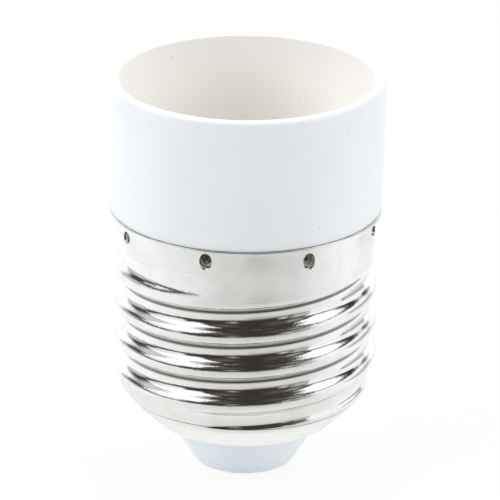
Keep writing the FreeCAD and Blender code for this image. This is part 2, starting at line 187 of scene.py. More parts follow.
# %% [markdown]
# ## The rolled wall
# The metal shell is one thin sheet. A roller presses a single groove into it that winds down from
# the plain band to the foot, deeper and deeper at its start and fading out at its end. Blender's
# own screw tool turns a profile at one depth all the way, so here the plain wall is spun first and
# the groove is then rolled in: each point moves inwards by the groove's depth at its own angle.

# %% The groove's shape
CREST_R = 13.15
PITCH = 3.629
THREAD_ARC_R = 1.07
THREAD_TOP = 1.86
THREAD_START = 8.0
THREAD_ANGLE = 1510.0
RUN_IN = 115.0
RUN_OUT = 62.0
FLANK = math.asin(PITCH / (4 * THREAD_ARC_R))
THREAD_DEPTH = 2 * THREAD_ARC_R * (1 - math.cos(FLANK))
CREST_SHARE = 0.43
CREST_ARC_R = 2 * THREAD_ARC_R * CREST_SHARE
ROOT_ARC_R = 2 * THREAD_ARC_R - CREST_ARC_R
CREST_HALF = PITCH / 2 * CREST_SHARE
GROOVED_FROM = 1.2
GROOVED_TO = 21.3
NECK_AT = 5.0
NECK_REACH = 3.2
NECK_FALL = 0.15
SHOULDER = 2.0
CONE_SUM = 31.5


def ease(t):
    """Rises from 0 to 1 with level ends."""
    t = min(max(t, 0.0), 1.0)
    return t * t * (3.0 - 2.0 * t)


def plain_radius(depth):
    """Outer radius of the wall with no groove: a slightly necked band, a shoulder, a cone."""
    off = (depth - NECK_AT) / NECK_REACH
    neck = NECK_FALL / 2 * (1 + math.cos(math.pi * off)) if abs(off) < 1 else 0.0
    upright = CREST_R - neck
    cone = CONE_SUM - depth
    shoulder = max(SHOULDER - abs(cone - upright), 0.0) ** 2 / (4 * SHOULDER)
    return min(cone, upright) - shoulder


def arc_fall(x):
    """How far the wall lies inside the crest, at a distance below the crest's middle."""
    x = x % PITCH
    x = min(x, PITCH - x)
    if x <= CREST_HALF:
        return CREST_ARC_R - math.sqrt(CREST_ARC_R ** 2 - x * x)
    x = PITCH / 2 - x
    return THREAD_DEPTH - ROOT_ARC_R + math.sqrt(ROOT_ARC_R ** 2 - x * x)


def groove(angle, depth):
    """Depth of the rolled groove at an angle from the front and a depth below the seam."""
    turned = (THREAD_START - angle) % 360.0
    past = depth - (THREAD_TOP + PITCH * turned / 360.0)
    turned += 360.0 * math.floor(past / PITCH)
    share = ease(turned / RUN_IN) * ease((THREAD_ANGLE - turned) / RUN_OUT)
    return arc_fall(past) * share


def roll_groove(piece):
    """Moves each point of the upright wall in by the groove's depth."""
    for v in piece.data.vertices:
        r = math.hypot(v.co.x, v.co.y)
        depth = SEAM - v.co.z / MM
        if not GROOVED_FROM <= depth <= GROOVED_TO:
            continue
        angle = math.degrees(math.atan2(v.co.x, -v.co.y))
        share = (r - groove(angle, depth) * MM) / r
        v.co.x *= share
        v.co.y *= share


# %% [markdown]
# The shell's outline starts at the flange under the cup, runs down the wall in fine steps, so that
# the groove has enough points to bend, and turns in under the foot. The sheet then gets its
# thickness on the inside.

# %% The screw shell
SHEET = 0.3
FLANGE_R = 13.7
FOOT_DEPTH = 22.3
WALL_TOP = 1.1
WALL_END = 21.4
WALL_STEP = 0.125
flange = rounded([
    (12.87, 0.0),
    (FLANGE_R, 0.0, 0.08),
    (FLANGE_R, 0.3, 0.07),
    (CREST_R, 0.34, 0.16),
    (CREST_R, 1.0),
], closed=False)
wall_depths = [WALL_TOP + WALL_STEP * k for k in range(int((WALL_END - WALL_TOP) / WALL_STEP) + 1)]
wall = [(plain_radius(depth), depth) for depth in wall_depths]
foot = rounded([
    (CONE_SUM - 21.55, 21.55),
    (CONE_SUM - FOOT_DEPTH + 0.03, FOOT_DEPTH, 0.28),
    (8.32, FOOT_DEPTH),
], closed=False)
shell = draw_outline("screw_shell_sheet", flange + wall + foot, False)
spin(shell, steps=224)
roll_groove(shell)
only(shell)
bpy.ops.object.mode_set(mode="EDIT")
bpy.ops.mesh.select_all(action="SELECT")
bpy.ops.mesh.normals_make_consistent(inside=False)
bpy.ops.object.mode_set(mode="OBJECT")
if outwardness(shell) < 0:
    shell.data.flip_normals()
thicken(shell, SHEET)
print("shell:", triangles(shell), "triangles, groove", round(THREAD_DEPTH, 2), "mm deep")

# %% [markdown]
# ## The pricks
# A punch stakes the shell to the cup: it shears a small hole and bends the metal below it inwards.
# One prick is a ring of points that is extruded inwards and up until only the hole is left. The
# ring is laid on the band's curve, the shell gets a clean oval cut, and copies go round the band.

# %% One prick
PRICK_DEPTH = 1.49
PRICK_W = 1.27
PRICK_H = 1.66
LIP_EDGE = 0.12
LIP_SHEET = 0.09
LIP_PROUD = 0.004
deselect()
bpy.ops.mesh.primitive_circle_add(vertices=48, radius=0.5 * MM, rotation=(math.pi / 2, 0, 0))
prick = bpy.context.object
prick.name = "prick_lip"
bpy.ops.object.transform_apply(location=False, rotation=True, scale=False)
bpy.ops.object.mode_set(mode="EDIT")
bpy.ops.mesh.select_all(action="SELECT")
wide = PRICK_W + LIP_EDGE
tall = PRICK_H + LIP_EDGE
bpy.ops.transform.resize(value=(wide, 1, tall))
lip_rings = [
    (-0.07, -0.11, 0.08, 0.055),
    (-0.06, -0.12, 0.16, 0.06),
    (-0.05, -0.06, 0.10, 0.03),
    (-0.05, -0.10, 0.02, 0.05),
    (-0.03, -0.09, 0.01, 0.045),
    (-0.04, -0.04, 0.08, 0.02),
]
for grow_w, grow_h, inward, up in lip_rings:
    step = (0, inward * MM, up * MM)
    bpy.ops.mesh.extrude_region_move(TRANSFORM_OT_translate={"value": step})
    scale = ((wide + grow_w) / wide, 1, (tall + grow_h) / tall)
    bpy.ops.transform.resize(value=scale)
    wide += grow_w
    tall += grow_h
bpy.ops.object.mode_set(mode="OBJECT")
for v in prick.data.vertices:
    r = (CREST_R + LIP_PROUD) * MM - v.co.y
    v.co.y = -math.sqrt(r * r - v.co.x ** 2)
    v.co.z += (SEAM - PRICK_DEPTH) * MM
only(prick)
bpy.ops.object.mode_set(mode="EDIT")
bpy.ops.mesh.select_all(action="SELECT")
bpy.ops.mesh.normals_make_consistent(inside=False)
bpy.ops.object.mode_set(mode="OBJECT")
if sum(p.normal.y for p in prick.data.polygons) > 0:
    prick.data.flip_normals()
thicken(prick, LIP_SHEET)
print("prick hole:", round(wide, 2), "by", round(tall, 2), "mm")

# %% [markdown]
# The pricks weren't struck evenly: the copies sit a little higher or lower, and some are flatter.

# %% Cutter and copies
CUT_EDGE = 0.02
deselect()
lying = (math.pi / 2, 0, 0)
bpy.ops.mesh.primitive_cylinder_add(vertices=40, radius=0.5 * MM, depth=3 * MM, rotation=lying)
cutter = bpy.context.object
bpy.ops.object.transform_apply(location=False, rotation=True, scale=False)
bpy.ops.object.mode_set(mode="EDIT")
bpy.ops.mesh.select_all(action="SELECT")
bpy.ops.transform.resize(value=(PRICK_W + CUT_EDGE, 1, PRICK_H + CUT_EDGE))
bpy.ops.transform.translate(value=(0, -CREST_R * MM, (SEAM - PRICK_DEPTH) * MM))
bpy.ops.object.mode_set(mode="OBJECT")


def copies_round(piece, angles):
    """Copies of a piece turned round the axis, each with its own mesh."""
    made = []
    for angle in angles:
        copy = piece.copy()
        copy.data = piece.data.copy()
        bpy.context.collection.objects.link(copy)
        copy.data.transform(Matrix.Rotation(math.radians(angle), 4, "Z"))
        made.append(copy)
    return made


prick_angles = [-62.0 + 45.0 * k for k in range(8)]
prick_lifts = [0.05, 0.14, -0.12, 0.1, 0.08, -0.1, 0.12, -0.06]
prick_sizes = [0.72, 1.0, 1.0, 0.66, 0.9, 1.0, 0.85, 1.0]
lips = copies_round(prick, prick_angles)
cutters = copies_round(cutter, prick_angles)
centre = Matrix.Translation((0, 0, (SEAM - PRICK_DEPTH) * MM))
for lip, hole, lift, size in zip(lips, cutters, prick_lifts, prick_sizes):
    squash = centre @ Matrix.Scale(size, 4, (0, 0, 1)) @ centre.inverted()
    changed = Matrix.Translation((0, 0, lift * MM)) @ squash
    lip.data.transform(changed)
    hole.data.transform(changed)
cut_out(shell, cutters)
join(shell, lips)
bpy.data.objects.remove(prick)
bpy.data.objects.remove(cutter)
smooth(shell, 40)
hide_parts("screw_shell")
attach(shell, "root")
print("shell with pricks:", triangles(shell), "triangles")

# %% [markdown]
# ## The moulding
# Cup, floor, skirt, inner tube and nose are one white moulding. Its half outline carries all of
# them. The eight ribs inside the shell centre the tube, and each prick leaves a small pocket.

# %% The moulding's outline
cup = rounded([
    (1.55, 27.25),
    (4.95, 27.25, 0.5),
    (8.05, 22.3),
    (8.05, 21.95),
    (8.876, 21.95),
    (9.4, 21.426),
    (9.4, 0.6, 0.2),
    (11.4, 0.6, 0.2),
    (11.4, 2.6),
    (12.8, 2.6, 0.2),
    (12.8, 0.0),
    (13.5, 0.0, 0.07),
    (13.78, -13.25, 0.38),
    (12.58, -13.25, 0.27),
    (12.35, -1.5, 0.7),
    (7.6, -1.5, 0.2),
    (7.6, 11.9),
    (4.6, 11.9),
    (4.6, 24.8),
    (1.55, 24.8),
])
housing = draw_outline("housing_moulding", cup, True)
spin(housing, steps=192)

# %% [markdown]
# The ribs are boxes with soft edges. They start inside the tube's wall, so nothing shows a joint.

# %% Ribs on the tube
RIB_SIZE = (1.2, 2.35, 18.4)
RIB_AT_R = 10.125
RIB_AT_DEPTH = 10.0
deselect()
bpy.ops.mesh.primitive_cube_add(size=1)
rib = bpy.context.object
bpy.ops.object.mode_set(mode="EDIT")
bpy.ops.transform.resize(value=[size * MM for size in RIB_SIZE])
bpy.ops.transform.translate(value=(0, -RIB_AT_R * MM, (SEAM - RIB_AT_DEPTH) * MM))
bpy.ops.mesh.bevel(offset=0.15 * MM, segments=2)
bpy.ops.object.mode_set(mode="OBJECT")
ribs = copies_round(rib, [22.5 + 45.0 * k for k in range(8)])

# %% [markdown]
# The punch goes on into the skirt behind the band, so each prick has a slanted pocket there.

# %% Pockets behind the pricks
POCKET_R = 0.6
POCKET_AT_R = 12.95
POCKET_DEPTH = 1.33
deselect()
slant = (-math.radians(66.0), 0, 0)
bpy.ops.mesh.primitive_cylinder_add(
    vertices=32, radius=POCKET_R * MM, depth=2 * MM, rotation=slant)
pocket = bpy.context.object
bpy.ops.object.transform_apply(location=False, rotation=True, scale=False)
bpy.ops.object.mode_set(mode="EDIT")
bpy.ops.mesh.select_all(action="SELECT")
bpy.ops.transform.translate(value=(0, -POCKET_AT_R * MM, (SEAM - POCKET_DEPTH) * MM))
bpy.ops.object.mode_set(mode="OBJECT")
pockets = copies_round(pocket, prick_angles)
for hollow, lift in zip(pockets, prick_lifts):
    hollow.data.transform(Matrix.Translation((0, 0, lift * MM)))
cut_out(housing, pockets)
bpy.data.objects.remove(pocket)
join(housing, ribs)
bpy.data.objects.remove(rib)
smooth(housing, 30)
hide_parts("housing")
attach(housing, "root")
print("moulding:", triangles(housing), "triangles")

# %% [markdown]
# ## The small lamp's sleeve
# Down the cup sits a drawn sleeve with the small lamp's thread rolled into it. Its wall swells out
# from the thread's inner crests in a smooth wave, at the small lamp thread's finer pitch.

# %% The threaded sleeve
SLEEVE_R = 6.2
SLEEVE_PITCH = 2.822
SLEEVE_SWELL = 0.785
SWELL_FADE = 1.6
SWELL_FROM = -0.6
SWELL_TO = 11.2
SLEEVE_WALL_TOP = -0.8
SLEEVE_WALL_DEEP = 12.0
SLEEVE_STEP = 0.12
SWOLLEN_FROM = -0.85
SWOLLEN_TO = 11.25


def sleeve_swell(angle, depth):
    """How far the sleeve's wall swells out at an angle and a depth."""
    turn = depth / SLEEVE_PITCH - angle / 360.0
    wave = 0.5 - 0.5 * math.cos(2 * math.pi * turn)
    start = ease((depth - SWELL_FROM) / SWELL_FADE)
    end = ease((SWELL_TO - depth) / SWELL_FADE)
    return SLEEVE_SWELL * wave * start * end


sleeve_top = rounded([
    (8.4, -1.8),
    (SLEEVE_R, -1.8, 0.45),
    (SLEEVE_R, -0.9),
], closed=False)
sleeve_rows = int(SLEEVE_WALL_DEEP / SLEEVE_STEP)
sleeve_wall = [(SLEEVE_R, SLEEVE_WALL_TOP + SLEEVE_STEP * k) for k in range(sleeve_rows + 1)]
sleeve_base = rounded([
    (SLEEVE_R, 11.3),
    (SLEEVE_R, 11.6, 0.25),
    (4.0, 11.6),
], closed=False)
sleeve = draw_outline("lamp_sleeve_sheet", sleeve_top + sleeve_wall + sleeve_base, False)
spin(sleeve, steps=128)
for v in sleeve.data.vertices:
    r = math.hypot(v.co.x, v.co.y)
    depth = SEAM - v.co.z / MM
    if SWOLLEN_FROM < depth < SWOLLEN_TO:
        angle = math.degrees(math.atan2(v.co.x, -v.co.y))
        share = (r + sleeve_swell(angle, depth) * MM) / r
        v.co.x *= share
        v.co.y *= share
only(sleeve)
if outwardness(sleeve) > 0:
    sleeve.data.flip_normals()
thicken(sleeve, SHEET)
smooth(sleeve, 40)
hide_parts("lamp_sleeve")
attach(sleeve, "root")
print("sleeve:", triangles(sleeve), "triangles")

# %% [markdown]
# ## The bottom contact
# The lowest piece is the head of a brass rivet, slightly domed and soft at its edge. It holds the
# spring contact down at the chamber's floor with its rolled-over end.

# %% The bottom contact
contact = draw_outline("bottom_contact_rivet", rounded([
    (0.0, 27.75),
    (3.3, 27.75),
    (3.5, 27.66, 0.12),
    (3.5, 27.25, 0.05),
    (1.5, 27.25),
    (1.5, 24.45),
    (2.2, 24.45, 0.1),
    (2.2, 24.0, 0.2),
    (0.75, 24.0, 0.12),
    (0.75, 25.6),
    (0.0, 25.6),
]), False)
spin(contact, steps=64)
smooth(contact, 30)
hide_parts("bottom_contact")
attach(contact, "root")
print("bottom contact:", triangles(contact), "triangles")

# %% [markdown]
# ## Materials
# Nickel is a mirror with a faint warm cast. What makes it look like rolled sheet is its surface:
# a very fine waviness that breaks up the edges of reflections, and small changes of roughness.
# Every pattern reads the object's own coordinates, which are metres here, so scales are large.

# %% Node helpers
def new_material(name):
    """An empty node material: its node list, its links and its Principled shader."""
    material = bpy.data.materials.new(name)
    material.use_nodes = True
    tree = material.node_tree
    tree.nodes.clear()
    output = tree.nodes.new("ShaderNodeOutputMaterial")
    shader = tree.nodes.new("ShaderNodeBsdfPrincipled")
    tree.links.new(shader.outputs["BSDF"], output.inputs["Surface"])
    return material, tree, shader


def noise(tree, vector, scale, detail=2.0, roughness=0.5):
    """A noise texture on the object's coordinates."""
    node = tree.nodes.new("ShaderNodeTexNoise")
    node.inputs["Scale"].default_value = scale
    node.inputs["Detail"].default_value = detail
    node.inputs["Roughness"].default_value = roughness
    tree.links.new(vector, node.inputs["Vector"])
    return node


def spread(tree, value, low_in, high_in, low_out, high_out):
    """Maps one range of a value onto another."""
    node = tree.nodes.new("ShaderNodeMapRange")
    node.inputs["From Min"].default_value = low_in
    node.inputs["From Max"].default_value = high_in
    node.inputs["To Min"].default_value = low_out
    node.inputs["To Max"].default_value = high_out
    tree.links.new(value, node.inputs["Value"])
    return node.outputs["Result"]


def colour_ramp(tree, value, stops):
    """A colour ramp with (position, colour) stops."""
    node = tree.nodes.new("ShaderNodeValToRGB")
    ramp = node.color_ramp
    while len(ramp.elements) < len(stops):
        ramp.elements.new(0.5)
    for element, (position, colour) in zip(ramp.elements, stops):
        element.position = position
        element.color = (*colour, 1.0)
    tree.links.new(value, node.inputs["Fac"])
    return node.outputs["Color"]


def object_coordinates(tree):
    """The piece's own coordinates."""
    return tree.nodes.new("ShaderNodeTexCoord").outputs["Object"]


def calculate(tree, operation, first, second=0.0):
    """One step of arithmetic on a socket, with a number or another socket where it takes two."""
    node = tree.nodes.new("ShaderNodeMath")
    node.operation = operation
    tree.links.new(first, node.inputs[0])
    if isinstance(second, float):
        node.inputs[1].default_value = second
    else:
        tree.links.new(second, node.inputs[1])
    return node.outputs[0]


def cylinder_coordinates(tree, where):
    """Distance from the axis and height, in metres."""
    node = tree.nodes.new("ShaderNodeSeparateXYZ")
    tree.links.new(where, node.inputs["Vector"])
    x = calculate(tree, "POWER", node.outputs["X"], 2.0)
    y = calculate(tree, "POWER", node.outputs["Y"], 2.0)
    radius = calculate(tree, "POWER", calculate(tree, "ADD", x, y), 0.5)
    return radius, node.outputs["Z"]


def above(tree, value, low, high):
    """Rises from 0 to 1 between two values."""
    return spread(tree, value, low, high, 0.0, 1.0)


def below(tree, value, low, high):
    """Falls from 1 to 0 between two values."""
    return spread(tree, value, low, high, 1.0, 0.0)


def between(tree, value, low, high, edge):
    """1 between two values, with an edge of this width inside each end."""
    return calculate(tree, "MULTIPLY", above(tree, value, low, low + edge),
                     below(tree, value, high - edge, high))


def plain_colour(tree, colour):
    """One colour, to be mixed into another."""
    node = tree.nodes.new("ShaderNodeRGB")
    node.outputs[0].default_value = (*colour, 1.0)
    return node.outputs[0]


def mix_colours(tree, factor, first, second, blend="MIX"):
    """Mixes two colours by a factor, which is a number or a socket."""
    node = tree.nodes.new("ShaderNodeMix")
    node.data_type = "RGBA"
    node.blend_type = blend
    if isinstance(factor, float):
        node.inputs["Factor"].default_value = factor
    else:
        tree.links.new(factor, node.inputs["Factor"])
    tree.links.new(first, node.inputs["A"])
    tree.links.new(second, node.inputs["B"])
    return node.outputs["Result"]


def bump(tree, height, strength, distance, normal=None):
    """A bump that leans the surface by a height map."""
    node = tree.nodes.new("ShaderNodeBump")
    node.inputs["Strength"].default_value = strength
    node.inputs["Distance"].default_value = distance
    tree.links.new(height, node.inputs["Height"])
    if normal:
        tree.links.new(normal, node.inputs["Normal"])
    return node.outputs["Normal"]


def dress(piece, material):
    """Gives a piece one material."""
    piece.data.materials.clear()
    piece.data.materials.append(material)


# %% [markdown]
# The plating's own colour drifts a little in soft clouds.

# %% Nickel on rolled sheet
nickel, tree, shader = new_material("rolled_nickel")
where = object_coordinates(tree)
radius, height = cylinder_coordinates(tree, where)
shader.inputs["Metallic"].default_value = 1.0
cloud = noise(tree, where, 260.0, 3.0)
tint = colour_ramp(tree, cloud.outputs["Fac"], [
    (0.3, (0.87, 0.875, 0.855)),
    (0.7, (0.92, 0.925, 0.905)),
])

# %% [markdown]
# The polish ends round the cone, at a fine line of painted shade. Below it the foot is satin, and
# paler. The crests have been rubbed by other holders, so they are a little rougher than the band.

# %% Polish and satin
SATIN_TOP = (0.00820, 0.00826)
CREST_RUB = (0.01245, 0.01305)
THREAD_END = (0.0222, 0.0232)
satin = below(tree, height, *SATIN_TOP)
tint = mix_colours(tree, satin, tint, plain_colour(tree, (0.98, 0.98, 0.97)))
haze = noise(tree, where, 520.0, 4.0, 0.6)
cloudy = colour_ramp(tree, haze.outputs["Fac"], [
    (0.38, (0.965, 0.965, 0.96)),
    (0.55, (1.0, 1.0, 1.0)),
])
tint = mix_colours(tree, 1.0, tint, cloudy, blend="MULTIPLY")
on_thread = below(tree, height, *THREAD_END)
worn = calculate(tree, "MULTIPLY", above(tree, radius, *CREST_RUB), on_thread)
mottle = noise(tree, where, 900.0, 3.0)
polish = spread(tree, mottle.outputs["Fac"], 0.3, 0.7, 0.04, 0.08)
polish = calculate(tree, "ADD", polish, calculate(tree, "MULTIPLY", worn, 0.04))
rough = calculate(tree, "ADD", polish, calculate(tree, "MULTIPLY", satin, 0.25))
tree.links.new(rough, shader.inputs["Roughness"])

# %% [markdown]
# The steep upper side of the groove, which faces down, is painted dark grey near its root: painted
# shade for the dark that it mirrors there. A fine line of painted shade also lies under the
# flange, another at the end of the polish, and painted shade lies round the pricks.

# %% Painted shade in the groove
GROOVE_ROOT = (0.01235, 0.01265)
CONE_TOP = (0.0108, 0.0118)
FLANGE_LINE = (0.02730, 0.02744)
POLISH_LINE_LOW = (0.00826, 0.00828)
POLISH_LINE_HIGH = (0.00834, 0.00838)
PRICK_SHADE_RADIUS = (0.01302, 0.01310)
PRICK_SHADE_HEIGHT = (0.0249, 0.0251)
facing = tree.nodes.new("ShaderNodeSeparateXYZ")
texture = tree.nodes.new("ShaderNodeTexCoord")
tree.links.new(texture.outputs["Normal"], facing.inputs["Vector"])
under_side = below(tree, facing.outputs["Z"], -0.4, -0.2)
# Painted shade: the groove's steep, down-facing side near its root is painted dark grey.
groove_shade = calculate(tree, "MULTIPLY", under_side, below(tree, radius, *GROOVE_ROOT))
groove_shade = calculate(tree, "MULTIPLY", groove_shade, on_thread)
groove_shade = calculate(tree, "MULTIPLY", groove_shade, above(tree, height, *CONE_TOP))
painted_shade_grey = plain_colour(tree, (0.14, 0.138, 0.13))
tint = mix_colours(tree, groove_shade, tint, painted_shade_grey)
# A fine uneven line of painted shade lies under the flange.
flange_shade = between(tree, height, *FLANGE_LINE, 0.00004)
patches = above(tree, haze.outputs["Fac"], 0.42, 0.55)
flange_shade = calculate(tree, "MULTIPLY", flange_shade, patches)
flange_shade = calculate(tree, "MULTIPLY", flange_shade, 0.6)
# A fine line of painted shade runs round the cone where the polish ends.
polish_edge_shade = calculate(tree, "MULTIPLY", above(tree, height, *POLISH_LINE_LOW),
                       below(tree, height, *POLISH_LINE_HIGH))
polish_edge_shade = calculate(tree, "MULTIPLY", polish_edge_shade, 0.75)
# Painted shade inside the pricks, at half strength.
prick_shade = calculate(tree, "MULTIPLY", below(tree, radius, *PRICK_SHADE_RADIUS),
                 above(tree, height, *PRICK_SHADE_HEIGHT))
prick_shade = calculate(tree, "MULTIPLY", prick_shade, 0.5)
shade_lines = calculate(tree, "MAXIMUM", calculate(tree, "MAXIMUM", flange_shade, polish_edge_shade), prick_shade)
tree.links.new(mix_colours(tree, shade_lines, tint, painted_shade_grey), shader.inputs["Base Color"])

# %% [markdown]
# The roller leaves fine marks along the groove. They are noise squeezed flat, so that it hardly
# changes round the shell and changes fast down it. A finer grain lies over them.

# %% Rolling marks and grain
squeeze = tree.nodes.new("ShaderNodeMapping")
squeeze.inputs["Scale"].default_value = (0.06, 0.06, 1.0)
tree.links.new(where, squeeze.inputs["Vector"])
marks = noise(tree, squeeze.outputs["Vector"], 3400.0, 2.0, 0.55)
grain = noise(tree, where, 5200.0, 2.0, 0.6)
ripple = noise(tree, where, 900.0, 2.0)
leaned = bump(tree, ripple.outputs["Fac"], 0.3, 0.00004)
mark_share = spread(tree, worn, 0.0, 1.0, 0.45, 1.0)
mark_height = calculate(tree, "MULTIPLY", marks.outputs["Fac"], mark_share)
leaned = bump(tree, mark_height, 0.5, 0.00003, leaned)
grain_share = spread(tree, worn, 0.0, 1.0, 0.25, 1.0)
grain_height = calculate(tree, "MULTIPLY", grain.outputs["Fac"], grain_share)
leaned = bump(tree, grain_height, 0.9, 0.000012, leaned)
tree.links.new(leaned, shader.inputs["Normal"])
dress(shell, nickel)
print("nickel is on the shell")

# %% [markdown]
# The moulding is one plastic, and yet it shows three whites: cool outside, warm inside the cup,
# cooler still on the nose. The warm white in the cup is painted light, bounced round inside it,
# and the cooler white of the nose is painted light from the floor below. The skirt behind the
# pricks is painted blotchy brown shade, for the dark pockets there.

# %% White moulding
CUP_BORE = (0.0129, 0.0133)
CUP_BOTTOM = (0.0285, 0.0289)
SKIRT_FOOT = (0.0244, 0.0246)
SKIRT_HEAD = (0.0276, 0.0277)
SKIRT_FACE = (0.0112, 0.0113)
NOSE_TOP = (0.0055, 0.0060)
white, tree, shader = new_material("white_moulding")
where = object_coordinates(tree)
radius, height = cylinder_coordinates(tree, where)
cloud = noise(tree, where, 120.0, 3.0)


def cloudy_white(dark, light):
    """A white that drifts between two colours with the clouds."""
    return colour_ramp(tree, cloud.outputs["Fac"], [(0.3, dark), (0.7, light)])


outside = cloudy_white((0.79, 0.825, 0.85), (0.82, 0.855, 0.88))
# Painted light: the warm white of light bounced round inside the cup.
inside = cloudy_white((0.96, 0.945, 0.91), (0.975, 0.96, 0.93))
# Painted light: the cooler white of light from the floor under the nose.
nose = cloudy_white((0.85, 0.92, 0.98), (0.88, 0.94, 0.99))
in_cup = calculate(tree, "MULTIPLY", below(tree, radius, *CUP_BORE),
                   above(tree, height, *CUP_BOTTOM))
skirt = calculate(tree, "MULTIPLY", above(tree, height, *SKIRT_FOOT),
                  below(tree, height, *SKIRT_HEAD))
skirt = calculate(tree, "MULTIPLY", skirt, above(tree, radius, *SKIRT_FACE))
tint = mix_colours(tree, in_cup, outside, inside)
tint = mix_colours(tree, below(tree, height, *NOSE_TOP), tint, nose)
blotch = noise(tree, where, 1800.0, 2.0)
# Painted shade on the skirt behind the pricks, blotchy brown, for the dark in the pockets.
pocket_shade = colour_ramp(tree, blotch.outputs["Fac"], [
    (0.44, (0.22, 0.20, 0.16)),
    (0.56, (0.62, 0.58, 0.50)),
])
tint = mix_colours(tree, skirt, tint, pocket_shade)

# %% [markdown]
# A thin uneven line of painted shade lies in the seam, in the gap under the cup, and handling
# leaves a few specks on the white.

# %% Seam shade and specks
SEAM_SHADE_LOW = (0.02774, 0.02775)
SEAM_SHADE_HIGH = (0.02777, 0.02780)
SPECK_EDGE = (0.035, 0.07)
shade_and_speck_dark = plain_colour(tree, (0.055, 0.05, 0.045))
uneven = noise(tree, where, 420.0, 3.0, 0.7)
# Painted shade: the thin uneven dark line in the gap under the cup.
seam_shade = calculate(tree, "MULTIPLY", below(tree, height, *SEAM_SHADE_HIGH),
                      above(tree, height, *SEAM_SHADE_LOW))
patches = above(tree, uneven.outputs["Fac"], 0.42, 0.54)
seam_shade = calculate(tree, "MULTIPLY", seam_shade, patches)
cells = tree.nodes.new("ShaderNodeTexVoronoi")
cells.inputs["Scale"].default_value = 700.0
tree.links.new(where, cells.inputs["Vector"])
picked = tree.nodes.new("ShaderNodeSeparateColor")
tree.links.new(cells.outputs["Color"], picked.inputs["Color"])
few = above(tree, picked.outputs["Red"], 0.55, 0.56)
speck = calculate(tree, "MULTIPLY", below(tree, cells.outputs["Distance"], *SPECK_EDGE), few)
speck = calculate(tree, "MULTIPLY", speck, 0.4)
tint = mix_colours(tree, calculate(tree, "MAXIMUM", seam_shade, speck), tint, shade_and_speck_dark)
tree.links.new(tint, shader.inputs["Base Color"])
rough = spread(tree, cloud.outputs["Fac"], 0.3, 0.7, 0.30, 0.38)
tree.links.new(rough, shader.inputs["Roughness"])
skin = noise(tree, where, 2600.0, 2.0)
tree.links.new(bump(tree, skin.outputs["Fac"], 0.12, 0.00002), shader.inputs["Normal"])
dress(housing, white)

# %% [markdown]
# The pieces inside are never polished: strips and rivets of brass, and a duller plating on the
# sleeve.

# %% Brass and the sleeve's plating
def inner_metal(name, cloud_scale, dark, light, smoothest, roughest, skin_scale):
    """An unpolished metal with cloudy colour and roughness and a fine skin."""
    material, tree, shader = new_material(name)
    where = object_coordinates(tree)
    shader.inputs["Metallic"].default_value = 1.0
    cloud = noise(tree, where, cloud_scale, 4.0).outputs["Fac"]
    tint = colour_ramp(tree, cloud, [(0.3, dark), (0.7, light)])
    tree.links.new(tint, shader.inputs["Base Color"])
    rough = spread(tree, cloud, 0.3, 0.7, smoothest, roughest)
    tree.links.new(rough, shader.inputs["Roughness"])
    skin = noise(tree, where, skin_scale, 2.0)
    tree.links.new(bump(tree, skin.outputs["Fac"], 0.2, 0.00002), shader.inputs["Normal"])
    return material


brass = inner_metal("bare_brass", 900.0, (0.66, 0.47, 0.22), (0.84, 0.66, 0.36),
                    0.18, 0.34, 5200.0)
for piece in (contact, nodes["centre_contact"], nodes["link_strip"], nodes["link_rivet"]):
    dress(piece, brass)
plate = inner_metal("drawn_sleeve_plate", 700.0, (0.74, 0.73, 0.70), (0.80, 0.79, 0.76),
                    0.3, 0.36, 4200.0)
dress(sleeve, plate)

# %% [markdown]
# ## Floor, light and camera
# A pale floor carries the object and its soft shadow. The metal is a mirror, so it shows the
# studio as much as itself: a white table below, the dark room round its edge, white softboxes on
# both sides and behind, and a dark gap between them over the camera.

# %% Floor
deselect()
bpy.ops.mesh.primitive_plane_add(size=0.94, location=(0, 0, -0.02 * MM))
floor = bpy.context.object
floor.name = "studio_floor"
floor_finish, tree, shader = new_material("floor_paper")
shader.inputs["Base Color"].default_value = (0.92, 0.92, 0.92, 1)
shader.inputs["Roughness"].default_value = 0.9


def emission(tree, level):
    """A white emission of one level."""
    node = tree.nodes.new("ShaderNodeEmission")
    node.inputs["Color"].default_value = (1, 1, 1, 1)
    node.inputs["Strength"].default_value = level
    return node


def mix_shaders(tree, factor, first, second):
    """Mixes two shader outputs by a factor."""
    node = tree.nodes.new("ShaderNodeMixShader")
    tree.links.new(factor, node.inputs["Fac"])
    tree.links.new(first, node.inputs[1])
    tree.links.new(second, node.inputs[2])
    return node.outputs["Shader"]


def azimuth(tree, x, y):
    """Angle round the vertical from the camera's side, in radians."""
    return calculate(tree, "ARCTAN2", x, calculate(tree, "MULTIPLY", y, -1.0))


# %% [markdown]
# The floor that the metal mirrors carries painted shade: the table in front of the object is
# painted a little greyer than at its sides, where the softboxes light it, and greyer again close
# to the foot.
# That shows only in the metal: the middle of the band mirrors the table before the camera, and the
# cone mirrors the table round the foot. The ramps run once round, from behind by the left, the
# front and the right to behind again.

